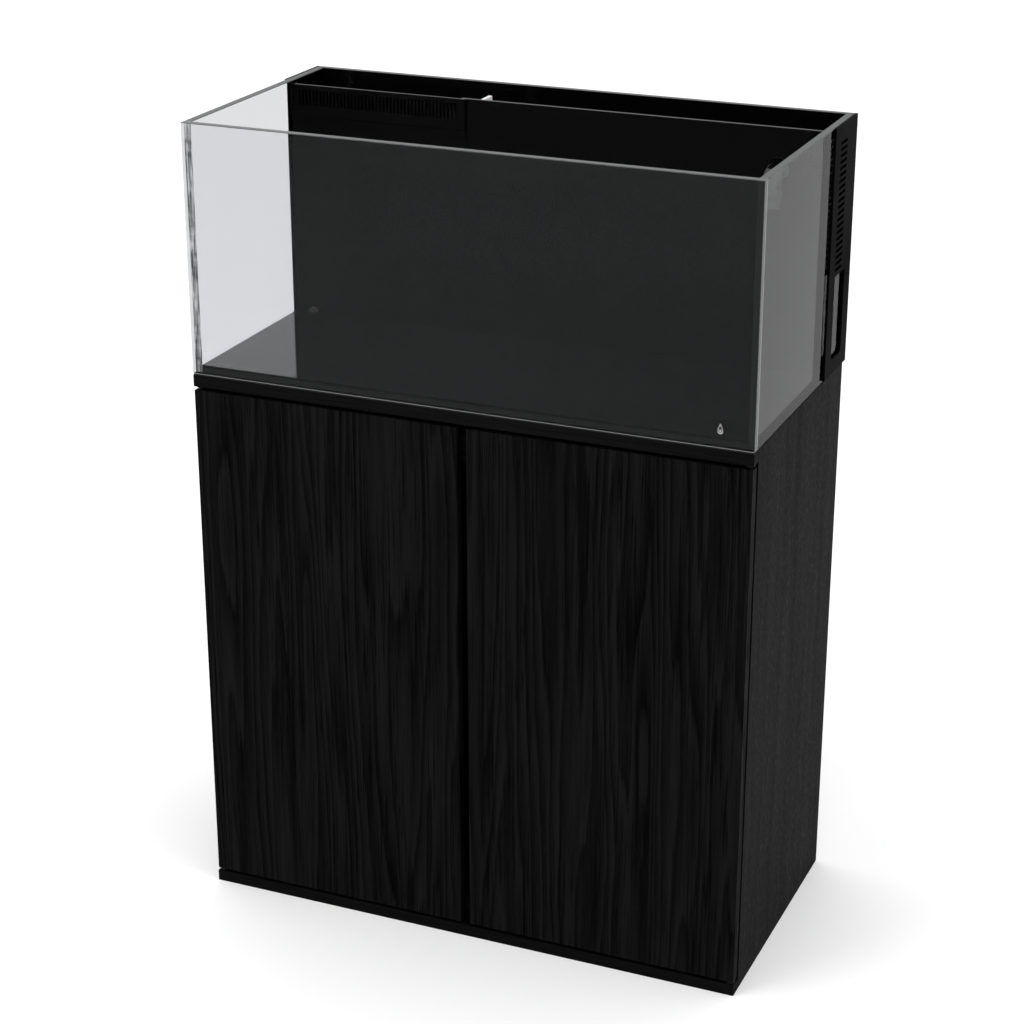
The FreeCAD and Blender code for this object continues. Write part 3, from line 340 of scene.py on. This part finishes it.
def rubber(name, level, rough, cell=700.0, depth=0.15, painted_highlight_above=None):
    """Matt rubber or closed-cell foam with a fine pitted skin, and a painted highlight line on its top above
    a height.
    """
    g = Graph(name, Specular_IOR_Level=0.25, Sheen_Weight=0.06)
    pits = g.add("TexVoronoi", {"Vector": g.where, "Scale": cell}).outputs["Distance"]
    bloom = g.noise(g.where, 45.0, detail=4.0)
    colour = g.blend(bloom, grey(level * 0.8), grey(level * 1.5))
    if painted_highlight_above is not None:
        # the band above the height is painted pale: a painted highlight standing in for a lit edge
        skin = g.maths("GREATER_THAN", g.place()[2], painted_highlight_above)
        colour = g.blend(skin, colour, PAINTED_EDGE_HIGHLIGHT)
    g.shader_link("Base Color", colour)
    g.shader_link("Roughness", g.spread(bloom, 0.3, 0.7, rough * 0.9, min(1.0, rough * 1.1)))
    g.bump(pits, 0.3, depth * MM)
    return g.material


def felt(name):
    """White needle felt: matted fibres with a soft nap."""
    g = Graph(name, Sheen_Weight=0.5, Sheen_Roughness=0.6, Specular_IOR_Level=0.1, Roughness=0.95)
    mat = g.noise(g.scaled((1, 1, 0.6)), 900.0, detail=5.0, rough=0.75, distortion=2.0)
    cloud = g.noise(g.where, 40.0, detail=3.0)
    shade = g.maths("MULTIPLY_ADD", mat, 0.6, g.maths("MULTIPLY", cloud, 0.4))
    g.shader_link("Base Color", g.blend(shade, (0.50, 0.49, 0.45, 1), (0.88, 0.87, 0.83, 1)))
    g.bump(mat, 0.6, 0.5 * MM)
    return g.material


def foam(name):
    """Open-cell filter foam: pale struts, with the pore centres painted dark as painted shade inside the
    pores.
    """
    g = Graph(name, Specular_IOR_Level=0.1, Sheen_Weight=0.2, Roughness=0.95)
    cells = g.add("TexVoronoi", {"Vector": g.where, "Scale": 420.0}, feature="DISTANCE_TO_EDGE")
    struts = g.spread(cells.outputs["Distance"], 0.02, 0.16, 1.0, 0.0)
    cloud = g.noise(g.where, 24.0, detail=3.0)
    tone = g.maths("MULTIPLY", struts, g.spread(cloud, 0.2, 0.8, 0.6, 1.1))
    # pore centres painted near black: painted shade inside the pores
    g.shader_link("Base Color", g.blend(tone, (0.004, 0.005, 0.008, 1), (0.055, 0.065, 0.095, 1)))
    g.bump(struts, 0.8, 0.9 * MM)
    return g.material


# ------------------------------------------------------------------ new pieces


def piece(name, mesh, material, body):
    """New piece in the row frame, riding on a body."""
    thing = bpy.data.objects.new(name, mesh)
    bpy.context.scene.collection.objects.link(thing)
    mesh.materials.append(material)
    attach(thing, body)
    return thing


def finished_mesh(name, bm):
    mesh = bpy.data.meshes.new(name)
    bm.to_mesh(mesh)
    bm.free()
    return mesh


def smooth(mesh):
    for face in mesh.polygons:
        face.use_smooth = True


def ring_points(count):
    """Evenly spaced angles round a full turn."""
    return [2 * math.pi * i / count for i in range(count)]


def lathe(name, rings, sides, radius_at):
    """Shell closed at its first ring, from (height, radius) rings; radius_at shifts each point's radius."""
    bm = bmesh.new()
    loops = []
    for z, radius in rings:
        loop = []
        for turn in ring_points(sides):
            r = radius_at(turn, z, radius)
            loop.append(bm.verts.new((r * math.cos(turn), r * math.sin(turn), z)))
        loops.append(loop)
    for low, high in zip(loops, loops[1:]):
        for i in range(sides):
            j = (i + 1) % sides
            bm.faces.new((low[i], low[j], high[j], high[i]))
    bm.faces.new(list(reversed(loops[0])))
    return finished_mesh(name, bm)


SOCK_WALL = 2.2 * MM
SOCK_HEM = 26 * MM
SOCK_SLACK_OVER = 60 * MM
SOCK_PUCKERS = 24
SOCK_FOLDS = 7
SOCK_SIDES = 96


def sock_rings(skin, base, height):
    """Rounded end, then a straight body: (height, radius) rings."""
    dome = skin * 0.94
    dome_steps = 11
    body_steps = 46
    rings = []
    for i in range(1, dome_steps):
        turn = math.pi / 2 * i / dome_steps
        rings.append((base + dome * (1 - math.cos(turn)), skin * math.sin(turn)))
    for i in range(body_steps + 1):
        rings.append((base + dome + (height - dome) * i / body_steps, skin))
    return rings


def filter_sock(material):
    """Felt sock hanging from its ring: puckered where it is sewn on, slack folds lower down, rounded end."""
    low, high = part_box("filter_sock")
    centre = (low + high) / 2
    skin = (high.x - low.x) / 2 - SOCK_WALL / 2 - 0.15 * MM
    base = low.z + 0.4 * MM + SOCK_WALL / 2
    height = high.z - low.z - 0.6 * MM - SOCK_WALL
    hem = high.z - SOCK_HEM

    def radius_at(turn, z, radius):
        slack = max(0.0, min(1.0, (hem - z) / SOCK_SLACK_OVER))
        folds = 0.5 + 0.5 * math.sin(SOCK_FOLDS * turn + 3.2 * math.sin(z * 21) + 0.8 * math.sin(2 * turn))
        drift = noise.noise(Vector((math.cos(turn) * 2.2, math.sin(turn) * 2.2, z * 22)))
        pucker = 0.5 + 0.5 * math.sin(SOCK_PUCKERS * turn)
        near_hem = math.exp(-((z - hem) / (7 * MM)) ** 2)
        inward = slack * (0.055 * folds + 0.035 * max(0.0, drift)) + 0.02 * near_hem * (0.4 + pucker)
        return radius * (1 - inward)

    mesh = lathe("felt_sock", sock_rings(skin, base, height), SOCK_SIDES, radius_at)
    for vertex in mesh.vertices:
        vertex.co.x += centre.x
        vertex.co.y += centre.y
    smooth(mesh)
    sock = piece("felt_sock", mesh, material, "filter_sock")
    thick = sock.modifiers.new("thickness", "SOLIDIFY")
    thick.thickness = SOCK_WALL
    thick.offset = 0
    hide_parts("filter_sock")


FOAM_EDGE = 5 * MM
FOAM_SINK = 0.9


def foam_block(material):
    """Foam block pressed into the basket: its faces crumpled, its edges worn round."""
    low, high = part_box("media_foam")
    size = high - low
    centre = (high + low) / 2
    bm = bmesh.new()
    bmesh.ops.create_cube(bm, size=1.0)
    for vertex in bm.verts:
        vertex.co = vertex.co * size + centre
    edges = list(bm.edges)
    bmesh.ops.bevel(bm, geom=edges, offset=FOAM_EDGE, segments=3, profile=0.6, affect="EDGES")
    long_edges = [edge for edge in bm.edges if edge.calc_length() > 4 * FOAM_EDGE]
    bmesh.ops.subdivide_edges(bm, edges=long_edges, cuts=20, use_grid_fill=True)
    bmesh.ops.recalc_face_normals(bm, faces=bm.faces)
    bm.normal_update()
    for vertex in bm.verts:
        crumple = noise.noise(vertex.co * 26) * 1.1 + noise.noise(vertex.co * 90) * 0.5
        vertex.co -= vertex.normal * max(0.0, FOAM_SINK + crumple) * MM
    mesh = finished_mesh("foam_block", bm)
    smooth(mesh)
    block = piece("foam_block", mesh, material, "media_basket")
    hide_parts("media_foam")


BADGE_HEIGHT = 16 * MM
BADGE_POINTS = 48
BADGE_FROM_END = 52 * MM
BADGE_ABOVE_FLOOR = 17 * MM
BADGE_OFF_GLASS = 0.04 * MM
BEAD_RADIUS = 1.5 * MM
BEAD_DROP = 3.2 * MM
BEAD_POINTS = 20


def droplet(height, middle):
    """Outline of a water drop in the pane's plane, its tip up."""
    outline = []
    for turn in ring_points(BADGE_POINTS):
        wide = math.sin(turn) * math.sin(turn / 2) ** 1.6
        outline.append(middle + Vector((0.36 * height * wide, 0, height * 0.5 * math.cos(turn))))
    return outline


def badge(material):
    """Small printed drop on the front pane: an outline with a bead in it."""
    near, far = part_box("front_pane")
    above_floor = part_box("tank_floor")[1].z + BADGE_ABOVE_FLOOR
    centre = Vector((far.x - BADGE_FROM_END, near.y - BADGE_OFF_GLASS, above_floor))
    bm = bmesh.new()
    rings = []
    for share in (1.0, 0.76):
        middle = centre - Vector((0, 0, 0.6 * MM * (1 - share)))
        rings.append([bm.verts.new(point) for point in droplet(BADGE_HEIGHT * share, middle)])
    for i in range(BADGE_POINTS):
        j = (i + 1) % BADGE_POINTS
        bm.faces.new((rings[0][i], rings[0][j], rings[1][j], rings[1][i]))
    bead = []
    for turn in ring_points(BEAD_POINTS):
        aside = BEAD_RADIUS * math.cos(turn)
        above = BEAD_RADIUS * math.sin(turn) - BEAD_DROP
        bead.append(bm.verts.new(centre + Vector((aside, 0, above))))
    bm.faces.new(bead)
    bmesh.ops.recalc_face_normals(bm, faces=bm.faces)
    mark = piece("drop_mark", finished_mesh("drop_mark", bm), material, "root")
    film = mark.modifiers.new("film", "SOLIDIFY")
    film.thickness = 0.03 * MM
    film.offset = 0


# ------------------------------------------------------------------ floor and light


FLOOR_REACH = 60
WORLD_STRENGTH = 1.2


def stage():
    """Pale floor that runs out of sight."""
    mesh = bpy.data.meshes.new("floor")
    corners = [(x * FLOOR_REACH, y * FLOOR_REACH, 0) for x, y in ((-1, -1), (1, -1), (1, 1), (-1, 1))]
    mesh.from_pydata(corners, [], [(0, 1, 2, 3)])
    floor = bpy.data.objects.new("floor", mesh)
    bpy.context.scene.collection.objects.link(floor)
    g = Graph("pale_floor", Roughness=0.9, Specular_IOR_Level=0.0)
    g.shader_link("Base Color", g.blend(g.noise(g.where, 2.0), grey(0.93), grey(0.95)))
    mesh.materials.append(g.material)


def light(name, at, target, size, watts):
    """Soft rectangular lamp turned towards a point."""
    data = bpy.data.lights.new(name, "AREA")
    data.shape = "RECTANGLE"
    data.size, data.size_y = size
    data.energy = watts
    lamp = bpy.data.objects.new(name, data)
    lamp.location = at
    lamp.rotation_euler = (Vector(target) - Vector(at)).to_track_quat("-Z", "Y").to_euler()
    bpy.context.scene.collection.objects.link(lamp)


def lights():
    world = bpy.data.worlds.new("studio")
    world.use_nodes = True
    background = world.node_tree.nodes["Background"]
    background.inputs["Color"].default_value = (1, 1, 1, 1)
    background.inputs["Strength"].default_value = WORLD_STRENGTH
    bpy.context.scene.world = world
    light("key", (-2.6, -3.4, 3.6), (0, 0, 0.8), (2.4, 2.4), 60)
    light("fill", (3.6, -1.0, 2.6), (0, 0, 0.9), (2.0, 2.6), 30)


# ------------------------------------------------------------------ making

CLEAR_FRONT = (0.872, 0.880, 0.892, 1)
CLEAR_SIDE = (0.665, 0.668, 0.678, 1)
ELBOW_BLACK_TOP = 7 * MM
MAT_HIGHLIGHT_BAND = 0.6 * MM


def finish_nodes():
    """Gives every CAD node that is shown its material."""
    dress(laminate("laminate_front_left", "z", (0.37, 0.0, 0.55)), "door_left")
    dress(laminate("laminate_front_right", "z", (1.91, 0.3, 0.10)), "door_right")
    dress(laminate("laminate_side", "z", (4.2, 0.7, 0.9), gloss=0.018, figure=0.1, depth=1.05, dash=0.13),
          "side_panel_left", "side_panel_right", "back_panel")
    dress(laminate("laminate_rail", "x", (0.2, 1.4, 2.6), figure=0.3, depth=0.45), "top_rail", "bottom_rail")
    dress(laminate("laminate_inside", "x", (5.1, 2.2, 0.3)),
          "top_board", "bottom_board", "upper_stretcher", "lower_sill", "rear_stretcher")
    dress(clear_glass("front_glass", CLEAR_FRONT, 1.178), "front_pane")
    dress(clear_glass("side_glass", CLEAR_SIDE, 1.10), "left_pane", "right_pane")
    dress(black_panel("black_partition", 0.0011, 0.09, 0.03), "partition", "weir_comb", "comb_guides")
    dress(black_panel("black_floor", 0.0022, 0.05, 0.5, shift=(3, 0, 0)), "tank_floor")
    dress(black_panel("black_chamber", 0.0003, 0.16, 0.012, shift=(6, 0, 0)),
          "baffle", "pump_divider", "sock_shelf")
    dress(black_panel("black_wall", 0.0012, 0.12, 0.05, shift=(2, 5, 0)), "back_wall")
    dress(black_panel("black_cover", 0.0013, 0.30, 0.0012, shift=(9, 0, 0)),
          "side_cover_left", "side_cover_right")
    dress(pale_panel("pale_divider", 0.62, 0.25), "overflow_divider")
    dress(moulded("black_moulding", 0.004, 0.42, specular=0.08),
          "cable_grommets", "pivot_bushes", "media_basket", "pump_body", "pump_strainer", "pump_gland",
          "bulkhead_nut")
    dress(moulded("matt_moulding", 0.0012, 0.5, specular=0.01), "bulkhead")
    dress(moulded("grey_moulding", 0.035, 0.38), "return_nozzle", "drain_grille", "sock_ring")
    elbow_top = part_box("return_elbow")[1].z
    dress(swivel_plastic("swivel_plastic", elbow_top - ELBOW_BLACK_TOP), "return_elbow")
    dress(metal("steel", 0.55, 0.28),
          "cam_bolts", "strike_plates_left", "strike_plates_right", "hose_clamps")
    dress(metal("blackened_steel", 0.012, 0.45), "pivot_pins_left", "pivot_pins_right")
    dress(metal("zinc", 0.50, 0.4, (1.0, 0.99, 0.94)), "cam_locks", "catch_magnets")
    dress(rubber("black_rubber", 0.014, 0.7), "door_bumpers", "pump_feet", "bulkhead_gasket")
    dress(rubber("hose_rubber", 0.010, 0.38, 300.0, 0.05), "return_hose")
    # the mat's top 0.6 mm is painted pale as a painted highlight line
    mat_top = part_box("levelling_mat")[1].z
    dress(rubber("mat_foam", 0.004, 0.85, 900.0, 0.3, painted_highlight_above=mat_top - MAT_HIGHLIGHT_BAND), "levelling_mat")


bpy.context.scene.view_settings.view_transform = "Standard"
set_camera()
stage()
lights()
finish_nodes()
filter_sock(felt("needle_felt"))
foam_block(foam("filter_foam"))
badge(moulded("pale_ink", 0.50, 0.5))
